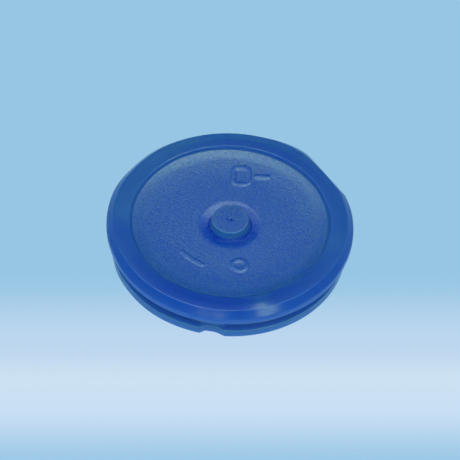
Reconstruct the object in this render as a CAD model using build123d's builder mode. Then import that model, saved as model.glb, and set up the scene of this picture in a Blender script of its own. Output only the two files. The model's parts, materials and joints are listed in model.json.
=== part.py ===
from build123d import *
import os

# Colour-coding insert for the cap of a screw-cap micro tube: one injection-moulded disc.
# It is pressed, skirt first, into the round recess on top of the cap.
# Frame: millimetres, +Z up, origin at the centre of the skirt's foot, +X to the right.

# Heights above the foot
snap_top = 0.43              # top edge of the snap ring
neck_bottom = 0.61           # top of the snap ring's sloping shoulder
flange_bottom = 1.143        # underside of the top flange
flange_top = 1.413           # top of the flange's upright wall
panel_height = 1.483         # flat middle of the grained panel
crest_height = 1.718         # top of the gently rounded rim
pip_top = 1.803              # top of the gate pip
web_thickness = 0.46         # plastic under the middle of the panel

# Radii from the axis
flange_radius = 5.00         # widest part
crest_outer_radius = 4.76    # where the rim's top rolls over into its shoulder
crest_middle_radius = 4.44   # highest line of the rim
crest_inner_radius = 4.08    # where the rim's top rolls over towards the panel
panel_radius = 3.97          # foot of the rim's inner slope
panel_turn_radius = 3.65     # where the dished panel turns up more steeply
panel_flat_radius = 2.78     # end of the panel's flat middle
snap_radius = 4.745          # snap ring that grips the cap's recess
neck_radius = 4.555          # groove between the snap ring and the flange
skirt_inner_radius = 3.975   # inside of the hollow underneath

# Rise of the dished panel and fall of the rim's top
panel_turn_rise = 0.053      # at panel_turn_radius, above the flat middle
panel_edge_rise = 0.127      # at panel_radius, above the flat middle
crest_inner_fall = 0.010     # at crest_inner_radius, below the crest
crest_outer_fall = 0.006     # at crest_outer_radius, below the crest

# Gate pip in its dimple, at the middle of the panel
dimple_radius = 1.21
dimple_depth = 0.10
pip_base_radius = 0.90
pip_top_radius = 0.745
gate_mark_radius = 0.10
gate_mark_depth = 0.06

# Rounds and lead-in
foot_chamfer = 0.10
panel_flat_round = 14.0
panel_turn_round = 2.6
panel_edge_round = 0.06
crest_inner_round = 0.06
crest_middle_round = 2.5
crest_outer_round = 0.05
shoulder_round = 0.04
flange_edge_round = 0.05
snap_edge_round = 0.03
neck_round = 0.06
skirt_mouth_round = 0.10
web_corner_round = 0.25
pip_edge_round = 0.03
dimple_round = 0.70

# Break in the snap ring, at the front: ends of its mouth and of its floor, across its bearing
notch_angle = -96.0
notch_mouth_ends = (-0.51, 0.53)
notch_floor_ends = (-0.27, 0.0)

# Flat on the flange's edge
flat_angle = 36.5
flat_distance = 4.885        # from the axis

# Plain raised mould marks on the panel
mark_height = 0.025
mark_width = 0.13
far_mark_lift = 0.02         # the panel's own rise under the far marks
frame_mark_at = (0.35, 2.65)
frame_mark_size = (0.75, 1.00)
frame_mark_corner = 0.265
bar_mark_at = (1.20, 2.65)
bar_mark_length = 0.60
ring_mark_at = (0.45, -2.15)
ring_mark_radius = 0.335
arc_mark_radius = 2.45
arc_mark_start = -139.5
arc_mark_size = 24.0

# Marks left by the ejector pins, under the panel
ejector_circle_radius = 2.7
ejector_mark_radius = 0.5
ejector_mark_depth = 0.03
ejector_count = 3

os.makedirs("parts", exist_ok=True)

web_bottom = panel_height - web_thickness
dimple_floor = panel_height - dimple_depth

# Corners of the half section, as (radius, height)
foot_inside = (skirt_inner_radius, 0)
foot_outside = (snap_radius - foot_chamfer, 0)
chamfer_end = (snap_radius, foot_chamfer)
snap_edge = (snap_radius, snap_top)
neck_low = (neck_radius, neck_bottom)
neck_high = (neck_radius, flange_bottom)
flange_low = (flange_radius, flange_bottom)
flange_high = (flange_radius, flange_top)
crest_outside = (crest_outer_radius, crest_height - crest_outer_fall)
crest_middle = (crest_middle_radius, crest_height)
crest_inside = (crest_inner_radius, crest_height - crest_inner_fall)
panel_edge = (panel_radius, panel_height + panel_edge_rise)
panel_turn = (panel_turn_radius, panel_height + panel_turn_rise)
panel_flat_end = (panel_flat_radius, panel_height)
dimple_edge = (dimple_radius, panel_height)
pip_foot = (pip_base_radius, dimple_floor)
pip_edge = (pip_top_radius, pip_top)
gate_edge = (gate_mark_radius, pip_top)
gate_bottom = (0, pip_top - gate_mark_depth)
web_middle = (0, web_bottom)
web_corner = (skirt_inner_radius, web_bottom)

rounds = [
    (snap_edge, snap_edge_round),
    (neck_low, neck_round),
    (neck_high, neck_round),
    (flange_low, flange_edge_round),
    (flange_high, shoulder_round),
    (crest_outside, crest_outer_round),
    (crest_middle, crest_middle_round),
    (crest_inside, crest_inner_round),
    (panel_edge, panel_edge_round),
    (panel_turn, panel_turn_round),
    (panel_flat_end, panel_flat_round),
    (dimple_edge, dimple_round),
    (pip_edge, pip_edge_round),
    (foot_inside, skirt_mouth_round),
    (web_corner, web_corner_round),
]

with BuildPart() as cap_insert:
    # The whole disc is one turned section: skirt, snap ring, neck, flange, rim, panel and pip
    with BuildSketch(Plane.XZ) as section:
        with BuildLine():
            Polyline(
                foot_inside,
                foot_outside,
                chamfer_end,
                snap_edge,
                neck_low,
                neck_high,
                flange_low,
                flange_high,
                crest_outside,
                crest_middle,
                crest_inside,
                panel_edge,
                panel_turn,
                panel_flat_end,
                dimple_edge,
                pip_foot,
                pip_edge,
                gate_edge,
                gate_bottom,
                web_middle,
                web_corner,
                close=True,
            )
        make_face()
        for corner, radius in rounds:
            fillet(section.vertices().sort_by_distance(corner)[0], radius)
    revolve(axis=Axis.Z)

    # Plain raised marks on the far side of the panel: a frame and a bar
    with BuildSketch(Plane.XY.offset(panel_height - mark_height)):
        with Locations(frame_mark_at):
            RectangleRounded(*frame_mark_size, frame_mark_corner)
            RectangleRounded(
                frame_mark_size[0] - 2 * mark_width,
                frame_mark_size[1] - 2 * mark_width,
                frame_mark_corner - mark_width,
                mode=Mode.SUBTRACT,
            )
        with Locations(bar_mark_at):
            SlotOverall(bar_mark_length, mark_width)
    extrude(amount=2 * mark_height + far_mark_lift)

    # Plain raised marks on its near side: a ring and a curved bar
    with BuildSketch(Plane.XY.offset(panel_height - mark_height)):
        with Locations(ring_mark_at):
            Circle(ring_mark_radius)
            Circle(ring_mark_radius - mark_width, mode=Mode.SUBTRACT)
        SlotArc(CenterArc((0, 0), arc_mark_radius, arc_mark_start, arc_mark_size), mark_width)
    extrude(amount=2 * mark_height)

    # The break in the snap ring: a scallop with sloping ends, down to the neck
    with BuildSketch(Plane.XY.rotated((0, 0, notch_angle))):
        with BuildLine():
            Polyline(
                (neck_radius, notch_floor_ends[0]),
                (snap_radius, notch_mouth_ends[0]),
                (flange_radius, notch_mouth_ends[0]),
                (flange_radius, notch_mouth_ends[1]),
                (snap_radius, notch_mouth_ends[1]),
                (neck_radius, notch_floor_ends[1]),
                close=True,
            )
        make_face()
    extrude(amount=neck_bottom, mode=Mode.SUBTRACT)

    # The flat on the flange's edge
    with BuildSketch(Plane.XY.rotated((0, 0, flat_angle))):
        with Locations((flat_distance, 0)):
            Rectangle(flange_radius - flat_distance, 2 * flange_radius, align=(Align.MIN, Align.CENTER))
    extrude(amount=crest_height, mode=Mode.SUBTRACT)

    # Ejector-pin marks, sunk in the underside of the web
    with BuildSketch(Plane.XY.offset(web_bottom)):
        with PolarLocations(ejector_circle_radius, ejector_count, start_angle=90):
            Circle(ejector_mark_radius)
    extrude(amount=ejector_mark_depth, mode=Mode.SUBTRACT)

cap_insert.part.label = "cap_insert"
export_step(cap_insert.part, "parts/cap_insert.step")
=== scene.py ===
"""The looks of a blue colour-coding cap insert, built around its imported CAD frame."""

import json
import math

import bpy
import numpy as np
from mathutils import Matrix, Vector, noise


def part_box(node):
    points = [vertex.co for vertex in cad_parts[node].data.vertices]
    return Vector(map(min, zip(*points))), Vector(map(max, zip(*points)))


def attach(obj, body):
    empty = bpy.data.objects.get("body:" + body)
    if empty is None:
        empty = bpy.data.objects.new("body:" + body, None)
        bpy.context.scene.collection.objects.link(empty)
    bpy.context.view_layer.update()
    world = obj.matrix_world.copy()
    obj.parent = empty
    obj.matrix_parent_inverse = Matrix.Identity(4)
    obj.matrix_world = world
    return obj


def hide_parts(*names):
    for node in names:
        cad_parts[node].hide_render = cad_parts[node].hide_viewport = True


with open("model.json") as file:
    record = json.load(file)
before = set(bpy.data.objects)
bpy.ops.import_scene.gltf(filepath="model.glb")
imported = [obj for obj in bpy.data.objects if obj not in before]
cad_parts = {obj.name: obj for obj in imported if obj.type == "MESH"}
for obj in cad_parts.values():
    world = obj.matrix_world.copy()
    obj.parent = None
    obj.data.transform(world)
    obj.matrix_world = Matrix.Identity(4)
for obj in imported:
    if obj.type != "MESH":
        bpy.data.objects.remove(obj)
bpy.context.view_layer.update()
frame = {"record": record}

MM = 0.001
NODE = "cap_insert"

# ---------------------------------------------------------------- sizes, in millimetres
# The frame gives the overall size and the snap ring, and the rest follows from them.

node_low, node_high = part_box(NODE)
mounts = {mount["name"]: mount for mount in frame["record"]["mounts"]}

foot = node_low.z / MM
pip_top = node_high.z / MM
flange_radius = (node_high.x - node_low.x) / 2 / MM
snap_radius = mounts["snap_ring"]["dims"]["r_mm"]

# Heights
gate_floor = pip_top - 0.06
crest_height = pip_top - 0.085
crest_inner_height = crest_height - 0.01
crest_outer_height = crest_height - 0.006
pip_middle = pip_top - 0.25
pip_wall_foot = pip_middle - 0.03
panel_middle = pip_top - 0.32
panel_turn = panel_middle + 0.053
panel_height = panel_middle + 0.127
dimple_floor = panel_middle - 0.10
web_bottom = panel_middle - 0.46
flange_middle = pip_top - 0.347   # mid height of the flange's edge, where the camera aims
flange_top = pip_top - 0.39
flange_bottom = flange_top - 0.27
flange_wall_foot = flange_bottom + 0.001   # rings above this are on the flange's wall or rim
shoulder_middle = flange_top + 0.15
snap_top = foot + 0.43
neck_bottom = snap_top + 0.18
snap_slope_height = snap_top + 0.03
snap_line = snap_top - 0.04

# Radii
gate_mark_radius = 0.10
pip_top_radius = 0.745
pip_bright_radius = pip_top_radius - 0.06
pip_middle_radius = 0.80
pip_wall_radius = pip_middle_radius + 0.015
pip_base_radius = 0.90
dimple_radius = 1.21
dimple_fade_radius = dimple_radius + 0.14
panel_radius = flange_radius - 1.03
panel_turn_radius = panel_radius - 0.32
panel_flat_radius = panel_radius - 1.19
crest_inner_radius = flange_radius - 0.92
crest_middle_radius = flange_radius - 0.56
crest_outer_radius = flange_radius - 0.24
shoulder_radius = flange_radius - 0.12
neck_radius = snap_radius - 0.19
snap_slope_radius = snap_radius - 0.03
skirt_inner_radius = snap_radius - 0.77
foot_chamfer = 0.10

# Half section, from the top's centre out over the rim, down the side and under to the middle of the web.
# Each corner has its radius, its height, the radius of its round, the mesh spacing after it, and its
# tone: partly how much plastic lies behind it, and partly painted light and shade. 0 gives the lighter
# of the two colours below and 1 the deeper, and a tone below 0 or above 1 is lighter or deeper than
# those.
SECTION = [
    (0, gate_floor, 0, 0.036, 1.3),
    (gate_mark_radius, pip_top, 0.05, 0.036, 0.5),
    (pip_bright_radius, pip_top, 0, 0.025, 0.3),
    # The pip's top edge and upper wall get a tone below 0: a painted light line round its top edge and
    # painted light on its wall.
    (pip_top_radius, pip_top, 0.03, 0.025, -1.0),
    (pip_middle_radius, pip_middle, 0, 0.020, -1.2),
    (pip_wall_radius, pip_wall_foot, 0, 0.020, 0.8),
    (pip_base_radius, dimple_floor, 0.02, 0.025, 0.9),
    (dimple_radius, panel_middle, 0.7, 0.036, 0.55),
    (dimple_fade_radius, panel_middle, 0, 0.036, 0.2),
    (panel_flat_radius, panel_middle, 14, 0.036, 0.2),
    (panel_turn_radius, panel_turn, 2.6, 0.036, 0),
    # Below 0 at the panel's edge: painted light against the shade in the corner where the rim rises.
    (panel_radius, panel_height, 0.06, 0.036, -0.3),
    (crest_inner_radius, crest_inner_height, 0.03, 0.035, 0.8),
    (crest_middle_radius, crest_height, 2.5, 0.04, 1),
    (crest_outer_radius, crest_outer_height, 0.02, 0.06, 0.6),
    (shoulder_radius, shoulder_middle, 0, 0.06, 0.35),
    (flange_radius, flange_top, 0.04, 0.06, 0),
    # From here to the foot the tones below 0 are painted light: on the flange's lower edge, in the
    # shaded groove under it, and on the snap ring, with a painted highlight line along its top edge.
    (flange_radius, flange_bottom, 0.05, 0.08, -0.3),
    (neck_radius, flange_bottom, 0.03, 0.08, 0.3),
    (neck_radius, neck_bottom, 0.06, 0.06, -0.3),
    (snap_slope_radius, snap_slope_height, 0, 0.04, -0.3),
    (snap_radius, snap_top, 0.03, 0.03, -2.2),
    (snap_radius, snap_line, 0, 0.05, -0.8),
    (snap_radius, foot + foot_chamfer, 0.02, 0.05, -0.8),
    (snap_radius - foot_chamfer, foot, 0.02, 0.08, 0.3),
    (skirt_inner_radius, foot, 0.10, 0.20, 0.3),
    (skirt_inner_radius, web_bottom, 0.25, 0.12, 0.8),
    (0, web_bottom, 0, 0.12, 0.3),
]

# Break in the snap ring: bearings of its mouth, floor, floor and mouth
NOTCH = [math.radians(a) for a in (-102.2, -99.4, -96.0, -89.6)]
notch_angle = NOTCH[2]
notch_depth = 0.19
notch_base_radius = skirt_inner_radius + 0.15    # the skirt keeps its shape inside this
notch_reach_height = snap_top + 0.3              # and the neck its own above this
snap_shoulder_height = snap_top + 0.1            # above it the snap ring is only cut back

# Flat on the flange's edge, with the softness of its far and its near end
flat_angle = math.radians(36.5)
flat_distance = flange_radius - 0.115
flat_far_corner = 0.03
flat_near_corner = 0.008
flat_corner_reach = 8             # how far off it each end is softened, in its softness
least_cosine = 0.5                # keeps the flat's line finite on the disc's other side

# Slight swellings and dips: bearing and spread in degrees, height
FLANGE_SWELLINGS = [
    (60, 10, 0.120), (84, 12, 0.022), (112, 16, 0.030), (130, 8, 0.030), (145, 6, -0.015),
    (158, 9, 0.036), (16, 8, 0.018), (-20, 7, -0.018), (-158, 9, -0.026),
]
RING_SWELLINGS = [(-160, 8, 0.030), (-128, 10, 0.025)]

# A slight swelling on the rim's top: bearing, radius, spread along and across it, height
RIM_SWELLING = (-71.5, flange_radius - 0.53, 0.30, 0.14, 0.021)
rim_swelling_fade = 0.08

# Painted reflections, highlights and shade round the rim, by bearing: the share of its section's tone
# that the rim keeps, as its mean, one wave and two waves to a turn, as height and bearing, and the
# painted patches, as bearing, spread and height
RIM_MEAN = 0.36
RIM_WAVE = (0.32, math.radians(-85))
RIM_DOUBLE_WAVE = (0.36, math.radians(78))
RIM_PAINTED_PATCHES = [
    (-71, 4.0, -0.8), (135, 14, -0.35), (-171, 6, 0.5),
    (-11, 5, -0.3), (178, 9, -0.5), (112, 9, -0.2),
]
# Painted light on the outer half of the far rim, which makes it lighter: how much, and where across the
# rim this sets in
FAR_RIM_PAINTED_LIGHT = 0.75
far_rim_lead = 0.06
far_rim_width = 0.14

# Panel grain: cell size and share of the coarse and the fine lumps
GRAIN_LUMPS = [(0.075, 0.7), (0.050, 0.7)]
GRAIN_SLICE = 7.3                 # where the noise is cut; any number does
grain_height = 0.005
grain_reach = panel_radius + 0.06                # the grain ends on the rim's inner slope
grain_fade = 0.12
gate_fade = 0.1

# Plain raised mould marks: a frame, a bar, a ring and a curved bar, along their middle lines
mark_height = 0.025
mark_width = 0.13
mark_soft = 0.06                  # width of their sloping sides
frame_mark_at = (0.35, 2.65)
frame_mark_half = (0.11, 0.235)   # half its straight sides
frame_mark_corner = 0.20
bar_mark_at = (1.20, 2.65)
bar_mark_half = 0.235
ring_mark_at = (0.45, -2.15)
ring_mark_radius = 0.27
arc_mark_radius = 2.45
arc_mark_angle = math.radians(-127.5)
arc_mark_half = math.radians(12)

# Ejector-pin marks, sunk in the web's underside
ejector_circle_radius = 2.7
ejector_mark_radius = 0.5
ejector_mark_depth = 0.03
ejector_mark_soft = 0.12
ejector_count = 3
ejector_reach = skirt_inner_radius - 0.3

# Mesh
TINY = 1e-6
ROUND_STEP = math.radians(22)     # turn between two points on a round
FEWEST_SEGMENTS = 6               # in the smallest ring
SIDE_SEGMENTS = 320               # round the side, where rings aren't counted by their spacing
LEAST_STEP = 0.002                # angle between two neighbouring segments
NOTCH_REACH = 0.13                # half the angle that is meshed more finely at the notch
NOTCH_SEGMENTS = 45
CORNER_AWAY = 0.26                # angle from the flat's middle to its ends
CORNER_REACH = 0.05               # half the angle that is meshed more finely at each end
CORNER_SEGMENTS = 13
top_even_radius = grain_reach + 0.15             # rings inside these are counted by spacing
under_even_radius = skirt_inner_radius - 0.1

# ---------------------------------------------------------------- colours

# Colours at tone 0 and 1. The tone is partly how much plastic lies behind the surface and partly painted
# light and shade.
LIGHT_TONE_COLOUR = (0.030, 0.172, 0.61)
DEEP_TONE_COLOUR = (0.005, 0.098, 0.635)
PLASTIC = {
    "IOR": 1.49,
    "Specular Tint": (0.68, 1.0, 0.55, 1),
    "Specular IOR Level": 0.4,
    "Subsurface Weight": 0.85,
    "Subsurface Radius": (0.3, 0.6, 1.0),
    "Subsurface Scale": 0.8 * MM,
    "Transmission Weight": 0.10,
}
SMOOTH_ROUGHNESS = 0.19
GRAIN_ROUGHNESS = 0.29
PIT_SIZE = 0.07 * MM
PIT_DETAIL = 2.0
PIT_ROUGHNESS = 0.6
PIT_DEPTH = 0.010 * MM
PIT_RANGE = (0.35, 0.65)          # of the noise that makes the pits
SPECKLE = 0.85                    # tone that the pits add and take away

FLOOR_NEAR = -11.3 * MM
FLOOR_FAR = -1.2 * MM
# The paper's own glow, with a painted band of light across it: its colour from its near edge, at 0, to
# its far edge, at 1
FLOOR_STOPS = [
    (0.0, (0.328, 0.578, 0.799)),
    (0.31, (0.584, 0.738, 0.905)),
    (0.42, (0.604, 0.753, 0.888)),
    (0.63, (0.503, 0.672, 0.863)),
    (1.0, (0.309, 0.565, 0.776)),
]
WORLD_COLOUR = (0.10, 0.15, 0.18)

# ---------------------------------------------------------------- camera, stage and lights

ELEVATION = math.radians(48.75)
ROLL = math.radians(3.0)
DISTANCE = 200.2                  # from the flange's centre, mm
AIM_DROP = 0.206                  # how far below the flange's centre the camera aims, mm
LENS = 387.4
SENSOR_WIDTH = 36

# In metres from here on
CLIP_START, CLIP_END = 0.01, 2.0
FLOOR_REACH = 0.3
BACKDROP_RADIUS = 0.29
BACKDROP_SIDES = 96
BACKDROP_LOW, BACKDROP_HIGH = -0.01, 0.35
SOFTBOX_DISTANCE = 0.25

# Softboxes: azimuth, elevation, width, depth, radiance. Azimuth 0 is in front, 90 to the right.
SOFTBOXES = [
    ("key", 155, 71, 0.22, 0.06, 11.0),
    ("top", 0, 72, 0.20, 0.12, 3.95),
    ("fill", 0, 25, 0.20, 0.12, 0.6),
    ("key_right", 135, 53, 0.07, 0.05, 6.0),
    ("key_left", -135, 53, 0.07, 0.05, 4.0),
    ("window", 35, 27, 0.06, 0.045, 6.0),
    ("left_strip", -19, 28, 0.010, 0.03, 10.0),
    ("right_strip", -5, 29, 0.010, 0.05, 9.0),
    ("edge_strip", 0, 6, 0.30, 0.02, 5.0),
]
EVEN_LIGHTS = ("top", "fill")     # these light the colour, and the others the gloss
EVEN_LIGHT_COLOUR = (0.9, 1.0, 1.0)
GLOSS_LIGHT_COLOUR = (0.95, 1.0, 1.0)


# ---------------------------------------------------------------- half section

def rounded(section):
    """The section's points with each corner rounded: radius, height, mesh spacing, tone."""
    points = []
    for i, (r, z, radius, spacing, tone) in enumerate(section):
        here = np.array((r, z))
        if radius == 0:
            points.append((r, z, spacing, tone))
            continue
        back = np.array(section[i - 1][:2]) - here
        ahead = np.array(section[i + 1][:2]) - here
        back = back / np.linalg.norm(back)
        ahead = ahead / np.linalg.norm(ahead)
        half_angle = math.acos(max(-1, min(1, float(back @ ahead)))) / 2
        cut = radius / math.tan(half_angle)
        turn = math.pi - 2 * half_angle
        centre = here + (back + ahead) / np.linalg.norm(back + ahead) * radius / math.sin(half_angle)
        start = here + back * cut - centre
        steps = max(2, math.ceil(turn / ROUND_STEP), math.ceil(turn * radius / spacing))
        side = math.copysign(1, back[1] * ahead[0] - back[0] * ahead[1])
        for k in range(steps + 1):
            a = side * turn * k / steps
            x = start[0] * math.cos(a) - start[1] * math.sin(a)
            y = start[0] * math.sin(a) + start[1] * math.cos(a)
            points.append((centre[0] + x, centre[1] + y, spacing, tone))
    return points


def spaced(points):
    """The same line with points added, so that no step is longer than its spacing."""
    line = [points[0]]
    for (r0, z0, spacing, tone0), (r1, z1, next_spacing, tone1) in zip(points, points[1:]):
        steps = max(1, math.ceil(math.hypot(r1 - r0, z1 - z0) / spacing))
        for k in range(1, steps + 1):
            t = k / steps
            here = next_spacing if k == steps else spacing
            line.append((r0 + (r1 - r0) * t, z0 + (z1 - z0) * t, here, tone0 + (tone1 - tone0) * t))
    return line


# ---------------------------------------------------------------- surface features

def smooth(t):
    """A soft step, from 0 at 0 to 1 at 1."""
    t = np.clip(t, 0, 1)
    return t * t * (3 - 2 * t)


def turned(angle, centre):
    """Angle from centre, between -pi and pi."""
    return (angle - centre + math.pi) % (2 * math.pi) - math.pi


def swelling(angle, bumps):
    """The sum of soft bumps, each with a bearing and a spread in degrees and a height."""
    out = np.zeros_like(angle)
    for bearing, spread, height in bumps:
        away = turned(angle, math.radians(bearing)) / math.radians(spread)
        out = out + height * np.exp(-0.5 * away * away)
    return out


def edge_shift(angle):
    """How far the flange's edge stands out from a true round: its swellings, less its flat."""
    away = turned(angle, flat_angle)
    edge = flange_radius + swelling(angle, FLANGE_SWELLINGS)
    flat = flat_distance / np.maximum(np.cos(away), least_cosine)
    corner = np.where(away > 0, flat_far_corner, flat_near_corner)
    gap = flat - edge
    cut = edge - 0.5 * (np.sqrt(gap * gap + corner * corner) - gap)
    return np.where(gap > flat_corner_reach * corner, edge, cut) - flange_radius


def rim_painted_light(angle):
    """Share of its section's tone that the rim keeps at an angle, with painted reflections and
    highlights: least at its left and right.
    """
    height, bearing = RIM_WAVE
    tone = RIM_MEAN + height * np.cos(angle - bearing)
    height, bearing = RIM_DOUBLE_WAVE
    tone = tone + height * np.cos(2 * (angle - bearing))
    return tone + swelling(angle, RIM_PAINTED_PATCHES)


def snap_outline(angle):
    """Radius of the snap ring at an angle: round, with its break at the front."""
    mouth_left, floor_left, floor_right, mouth_right = [turned(a, notch_angle) for a in NOTCH]
    across = turned(angle, notch_angle)
    left = (floor_left - across) / (floor_left - mouth_left)
    right = (across - floor_right) / (mouth_right - floor_right)
    rise = np.clip(np.maximum(left, right), 0, 1)
    rise = rise * rise * (2 - rise)
    return snap_radius + swelling(angle, RING_SWELLINGS) - notch_depth * (1 - rise)


def even_angles(count):
    """Angles of this many points, evenly spaced round the disc."""
    return np.arange(count) * 2 * math.pi / count


def side_angles():
    """Angles round the side, closer together where the outline turns sharply."""
    notch = notch_angle + np.linspace(-NOTCH_REACH, NOTCH_REACH, NOTCH_SEGMENTS)
    corner = np.linspace(-CORNER_REACH, CORNER_REACH, CORNER_SEGMENTS)
    corners = [flat_angle + side * CORNER_AWAY + corner for side in (-1, 1)]
    every = np.sort(np.concatenate([even_angles(SIDE_SEGMENTS), notch, *corners]) % (2 * math.pi))
    keep = np.concatenate([[True], np.diff(every) > LEAST_STEP])
    return every[keep]


def mark_lift(x, y):
    """How far the plain raised marks lift the panel at a point."""
    def band(distance):
        return smooth((mark_width / 2 + mark_soft - distance) / mark_soft)

    over_x = np.abs(x - frame_mark_at[0]) - frame_mark_half[0]
    over_y = np.abs(y - frame_mark_at[1]) - frame_mark_half[1]
    outside = np.hypot(np.maximum(over_x, 0), np.maximum(over_y, 0))
    from_frame = np.abs(outside + np.minimum(np.maximum(over_x, over_y), 0) - frame_mark_corner)

    past_bar = np.maximum(np.abs(x - bar_mark_at[0]) - bar_mark_half, 0)
    from_bar = np.hypot(past_bar, y - bar_mark_at[1])

    from_ring = np.abs(np.hypot(x - ring_mark_at[0], y - ring_mark_at[1]) - ring_mark_radius)

    along_arc = np.abs(turned(np.arctan2(y, x), arc_mark_angle))
    past_arc = np.maximum(along_arc - arc_mark_half, 0) * arc_mark_radius
    from_arc = np.hypot(np.hypot(x, y) - arc_mark_radius, past_arc)

    lifts = [band(distance) for distance in (from_frame, from_bar, from_ring, from_arc)]
    return np.maximum.reduce(lifts) * mark_height


def grain(x, y):
    """Height of the moulded grain at each point of the panel."""
    height = np.zeros_like(x)
    for cell, share in GRAIN_LUMPS:
        lumps = [noise.noise(Vector((a / cell, b / cell, GRAIN_SLICE * share))) for a, b in zip(x, y)]
        height += share * np.array(lumps)
    return height * grain_height


def ejector_lift(x, y):
    """How far the ejector-pin marks are sunk into the web's underside at a point."""
    lift = np.zeros_like(x)
    for k in range(ejector_count):
        bearing = math.pi / 2 + k * 2 * math.pi / ejector_count
        away = np.hypot(x - ejector_circle_radius * math.cos(bearing),
                        y - ejector_circle_radius * math.sin(bearing))
        lift = lift + ejector_mark_depth * smooth((ejector_mark_radius - away) / ejector_mark_soft)
    return lift


# ---------------------------------------------------------------- mesh

def ring_angles(r, z, spacing, top):
    """Angles of one ring's points: by spacing on the panel and under the web, or the side's."""
    if r < TINY:
        return np.zeros(1)
    under = not top and z > snap_top and r < under_even_radius
    if under or (top and r < top_even_radius):
        return even_angles(max(FEWEST_SEGMENTS, round(2 * math.pi * r / spacing)))
    return side_angles()


def ring_radius(angle, r, z):
    """Radius of one ring at each angle, with the flange's swellings and flat, and the notch."""
    if z > flange_bottom - TINY and r > neck_radius:
        inside = crest_middle_radius if z > flange_wall_foot else neck_radius
        share = max(0, (r - inside) / (flange_radius - inside))
        return r + edge_shift(angle) * share
    if z < notch_reach_height and r > notch_base_radius:
        outline = snap_outline(angle)
        if z > snap_shoulder_height:
            return np.minimum(r, outline)
        share = (r - notch_base_radius) / (snap_radius - notch_base_radius)
        return notch_base_radius + share * (outline - notch_base_radius)
    return np.full_like(angle, r)


def ring_points(r, z, spacing, top):
    """One ring of the disc: its points, with every surface feature, their angles, their grain."""
    angle = ring_angles(r, z, spacing, top)
    radius = ring_radius(angle, r, z)
    x = radius * np.cos(angle)
    y = radius * np.sin(angle)
    height = np.full_like(angle, z)
    grained = np.zeros_like(angle)
    if top and crest_inner_radius < r < crest_outer_radius:
        bearing, middle, along, across, rise = RIM_SWELLING
        side = turned(angle, math.radians(bearing)) * middle / along
        fade = smooth((crest_outer_radius - r) / rim_swelling_fade)
        height = height + rise * fade * np.exp(-0.5 * (side * side + ((r - middle) / across) ** 2))
    if top and r < grain_reach:
        fade = smooth((grain_reach - r) / grain_fade) * smooth((r - gate_mark_radius) / gate_fade)
        grained = grained + fade
        height = height + grain(x, y) * fade
        height = height + mark_lift(x, y)
    if not top and z > web_bottom - TINY and r < ejector_reach:
        height = height + ejector_lift(x, y)
    return np.column_stack((x, y, height)) * MM, angle, grained


def ring_tone(angle, r, z, tone):
    """Tone of one ring's points, with painted reflections and shade round the rim, and painted light on
    the far rim's outer half.
    """
    slope = (r - panel_turn_radius) / (crest_inner_radius - panel_turn_radius)
    on_rim = smooth(slope) if tone > 0 else 0
    outer = smooth((r - crest_middle_radius + far_rim_lead) / far_rim_width) * (z > flange_bottom)
    far = np.clip(np.sin(angle), 0, 1) ** 2
    return tone * (1 - on_rim * (1 - rim_painted_light(angle))) - FAR_RIM_PAINTED_LIGHT * outer * far


def zipped(first, first_angles, second, second_angles):
    """Triangles between two rings of points, given as their first index and their angles."""
    n, m = len(first_angles), len(second_angles)
    if n == 1:
        return [(first, second + k, second + (k + 1) % m) for k in range(m)]
    if m == 1:
        return [(first + k, second, first + (k + 1) % n) for k in range(n)]
    faces = []
    i = j = 0
    turn = 2 * math.pi
    while i < n or j < m:
        next_i = first_angles[(i + 1) % n] + turn * ((i + 1) // n)
        next_j = second_angles[(j + 1) % m] + turn * ((j + 1) // m)
        a, b = first + i % n, second + j % m
        if j >= m or (i < n and next_i <= next_j):
            faces.append((a, b, first + (i + 1) % n))
            i += 1
        else:
            faces.append((a, b, second + (j + 1) % m))
            j += 1
    return faces


def linked(name, data):
    """A new object in the scene."""
    item = bpy.data.objects.new(name, data)
    bpy.context.scene.collection.objects.link(item)
    return item


def moulding():
    """The whole disc as one closed mesh of rings, zipped together from top centre to bottom centre."""
    line = spaced(rounded(SECTION))
    widest = max(range(len(line)), key=lambda i: line[i][0])
    rings = []
    points = []
    grained = []
    thickness_and_painted_light = []
    total = 0
    for i, (r, z, spacing, tone) in enumerate(line):
        ring, angles, ring_grained = ring_points(r, z, spacing, top=i < widest)
        rings.append((total, angles))
        points.append(ring)
        grained.append(ring_grained)
        # Each ring's tone, which holds painted light and shade as well as the plastic's depth.
        thickness_and_painted_light.append(ring_tone(angles, r, z, tone))
        total += len(ring)
    faces = []
    for ring, next_ring in zip(rings, rings[1:]):
        faces += zipped(*ring, *next_ring)
    mesh = bpy.data.meshes.new("cap_insert_moulding")
    mesh.from_pydata(np.vstack(points).tolist(), [], faces)
    mesh.shade_smooth()
    for name, values in (("grained", grained), ("thickness_and_painted_light", thickness_and_painted_light)):
        attribute = mesh.attributes.new(name, "FLOAT", "POINT")
        attribute.data.foreach_set("value", np.concatenate(values).astype(np.float32))
    return linked("cap_insert_moulding", mesh)


# ---------------------------------------------------------------- materials

def new_material(name, sockets):
    """A material with these values on its shader's sockets."""
    material = bpy.data.materials.new(name)
    material.use_nodes = True
    shader = material.node_tree.nodes["Principled BSDF"]
    for socket, value in sockets.items():
        shader.inputs[socket].default_value = value
    return material


def add_range(nodes, low, high, source=(0, 1)):
    """A Map Range node from the source range to low and high."""
    node = nodes.new("ShaderNodeMapRange")
    node.inputs["From Min"].default_value = source[0]
    node.inputs["From Max"].default_value = source[1]
    node.inputs["To Min"].default_value = low
    node.inputs["To Max"].default_value = high
    return node


def add_attribute(nodes, name):
    """A node that reads a value stored on the mesh's points."""
    node = nodes.new("ShaderNodeAttribute")
    node.attribute_name = name
    return node.outputs["Fac"]


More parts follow.
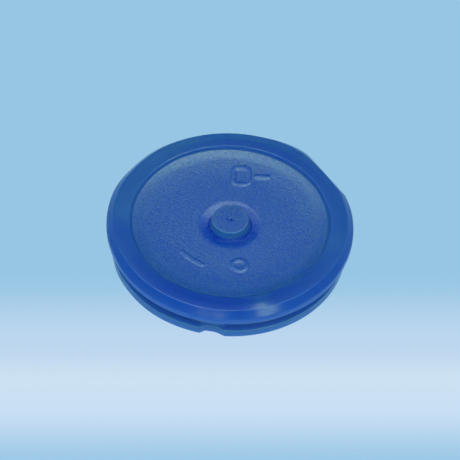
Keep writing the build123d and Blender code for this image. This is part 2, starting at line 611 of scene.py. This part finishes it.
def blue_plastic():
    """Translucent blue polypropylene, rough where grained, its colour set by the stored tone: deeper
    where more plastic lies behind the surface, with painted light, shade and reflections.
    """
    material = new_material("blue_plastic", PLASTIC)
    nodes, links = material.node_tree.nodes, material.node_tree.links
    shader = nodes["Principled BSDF"]
    place = nodes.new("ShaderNodeTexCoord")
    grained = add_attribute(nodes, "grained")
    # The stored tone: partly the plastic's depth, partly painted light, shade and reflections.
    thickness_and_painted_light = add_attribute(nodes, "thickness_and_painted_light")

    rough = add_range(nodes, SMOOTH_ROUGHNESS, GRAIN_ROUGHNESS)
    links.new(grained, rough.inputs["Value"])
    links.new(rough.outputs[0], shader.inputs["Roughness"])

    pits = nodes.new("ShaderNodeTexNoise")
    pits.inputs["Scale"].default_value = 1 / PIT_SIZE
    pits.inputs["Detail"].default_value = PIT_DETAIL
    pits.inputs["Roughness"].default_value = PIT_ROUGHNESS
    links.new(place.outputs["Object"], pits.inputs["Vector"])
    bump = nodes.new("ShaderNodeBump")
    bump.inputs["Distance"].default_value = PIT_DEPTH
    links.new(pits.outputs["Fac"], bump.inputs["Height"])
    links.new(grained, bump.inputs["Strength"])
    links.new(bump.outputs[0], shader.inputs["Normal"])

    speckle = add_range(nodes, SPECKLE, -SPECKLE, PIT_RANGE)
    links.new(pits.outputs["Fac"], speckle.inputs["Value"])
    tone = nodes.new("ShaderNodeMath")
    tone.operation = "MULTIPLY_ADD"
    links.new(speckle.outputs[0], tone.inputs[0])
    links.new(grained, tone.inputs[1])
    links.new(thickness_and_painted_light, tone.inputs[2])
    colour = nodes.new("ShaderNodeMix")
    colour.data_type = "RGBA"
    colour.clamp_factor = False
    colour.inputs[6].default_value = (*LIGHT_TONE_COLOUR, 1)
    colour.inputs[7].default_value = (*DEEP_TONE_COLOUR, 1)
    links.new(tone.outputs[0], colour.inputs[0])
    links.new(colour.outputs[2], shader.inputs["Base Color"])
    return material


def plain_glow(name, colour):
    """An even, matt surface that needs no light."""
    return new_material(name, {
        "Base Color": (0, 0, 0, 1),
        "Roughness": 1.0,
        "Specular IOR Level": 0.0,
        "Emission Color": (*colour, 1),
        "Emission Strength": 1.0,
    })


def floor_material():
    """Pale blue paper that glows by itself, with a painted band of light in front."""
    material = plain_glow("pale_floor", FLOOR_STOPS[0][1])
    nodes, links = material.node_tree.nodes, material.node_tree.links
    shader = nodes["Principled BSDF"]
    place = nodes.new("ShaderNodeTexCoord")
    parts = nodes.new("ShaderNodeSeparateXYZ")
    spread = add_range(nodes, 0, 1, (FLOOR_NEAR, FLOOR_FAR))
    ramp = nodes.new("ShaderNodeValToRGB")
    links.new(place.outputs["Object"], parts.inputs[0])
    links.new(parts.outputs["Y"], spread.inputs["Value"])
    links.new(spread.outputs[0], ramp.inputs[0])
    links.new(ramp.outputs[0], shader.inputs["Emission Color"])
    ramp.color_ramp.interpolation = "EASE"
    while len(ramp.color_ramp.elements) < len(FLOOR_STOPS):
        ramp.color_ramp.elements.new(0.5)
    for element, (position, colour) in zip(ramp.color_ramp.elements, FLOOR_STOPS):
        element.position = position
        element.color = (*colour, 1)
    return material


# ---------------------------------------------------------------- camera, stage and lights

def add_camera():
    """A long lens in front of the disc and above it, rolled a little, aimed at the flange."""
    data = bpy.data.cameras.new("camera")
    data.lens = LENS
    data.sensor_width = SENSOR_WIDTH
    data.clip_start = CLIP_START
    data.clip_end = CLIP_END
    camera = linked("camera", data)
    rise = Vector((0, math.sin(ELEVATION), math.cos(ELEVATION)))
    ahead = Vector((0, math.cos(ELEVATION), -math.sin(ELEVATION)))
    right = math.cos(ROLL) * Vector((1, 0, 0)) + math.sin(ROLL) * rise
    up = math.cos(ROLL) * rise - math.sin(ROLL) * Vector((1, 0, 0))
    aim = Vector((0, 0, flange_middle)) - AIM_DROP * up
    place = (aim - ahead * DISTANCE) * MM
    turn = Matrix((right, up, -ahead)).transposed().to_4x4()
    camera.matrix_world = Matrix.Translation(place) @ turn
    bpy.context.scene.camera = camera


def add_floor():
    """The paper under the disc, turned so that its band lies level in the rolled view."""
    mesh = bpy.data.meshes.new("floor")
    corners = [(x * FLOOR_REACH, y * FLOOR_REACH, 0) for x, y in ((-1, -1), (1, -1), (1, 1), (-1, 1))]
    mesh.from_pydata(corners, [], [(0, 1, 2, 3)])
    mesh.materials.append(floor_material())
    floor = linked("floor", mesh)
    floor.location.z = node_low.z
    floor.rotation_euler.z = math.atan(math.tan(ROLL) / math.sin(ELEVATION))


def add_backdrop():
    """A pale wall round the floor, far behind the disc, which only the camera sees."""
    mesh = bpy.data.meshes.new("backdrop")
    ring = [(BACKDROP_RADIUS * math.cos(a), BACKDROP_RADIUS * math.sin(a))
            for a in (2 * math.pi * k / BACKDROP_SIDES for k in range(BACKDROP_SIDES))]
    corners = [(x, y, z) for z in (BACKDROP_LOW, BACKDROP_HIGH) for x, y in ring]
    walls = [(k, (k + 1) % BACKDROP_SIDES, BACKDROP_SIDES + (k + 1) % BACKDROP_SIDES, BACKDROP_SIDES + k)
             for k in range(BACKDROP_SIDES)]
    mesh.from_pydata(corners, [], walls)
    mesh.materials.append(plain_glow("pale_backdrop", FLOOR_STOPS[-1][1]))
    backdrop = linked("backdrop", mesh)
    for ray in ("diffuse", "glossy", "transmission", "shadow"):
        setattr(backdrop, "visible_" + ray, False)


def add_softbox(name, azimuth, elevation, width, depth, radiance):
    """An area light aimed at the disc, which lights only its colour or only its gloss."""
    even = name in EVEN_LIGHTS
    data = bpy.data.lights.new(name, "AREA")
    data.shape = "RECTANGLE"
    data.size = width
    data.size_y = depth
    data.energy = radiance * math.pi * width * depth
    data.color = EVEN_LIGHT_COLOUR if even else GLOSS_LIGHT_COLOUR
    light = linked(name, data)
    a, e = math.radians(azimuth), math.radians(elevation)
    toward = Vector((math.sin(a) * math.cos(e), -math.cos(a) * math.cos(e), math.sin(e)))
    light.location = SOFTBOX_DISTANCE * toward
    light.rotation_mode = "QUATERNION"
    light.rotation_quaternion = light.location.to_track_quat("Z", "Y")
    light.visible_glossy = not even
    light.visible_diffuse = even


def add_world():
    """A dim, even sky, which fills the shadows."""
    world = bpy.data.worlds.new("studio")
    world.use_nodes = True
    world.node_tree.nodes["Background"].inputs["Color"].default_value = (*WORLD_COLOUR, 1)
    world.node_tree.nodes["Background"].inputs["Strength"].default_value = 1.0
    bpy.context.scene.world = world


piece = moulding()
piece.data.materials.append(blue_plastic())
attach(piece, "root")
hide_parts(NODE)

add_camera()
add_floor()
add_backdrop()
add_world()
for softbox in SOFTBOXES:
    add_softbox(*softbox)
bpy.context.scene.view_settings.view_transform = "Standard"
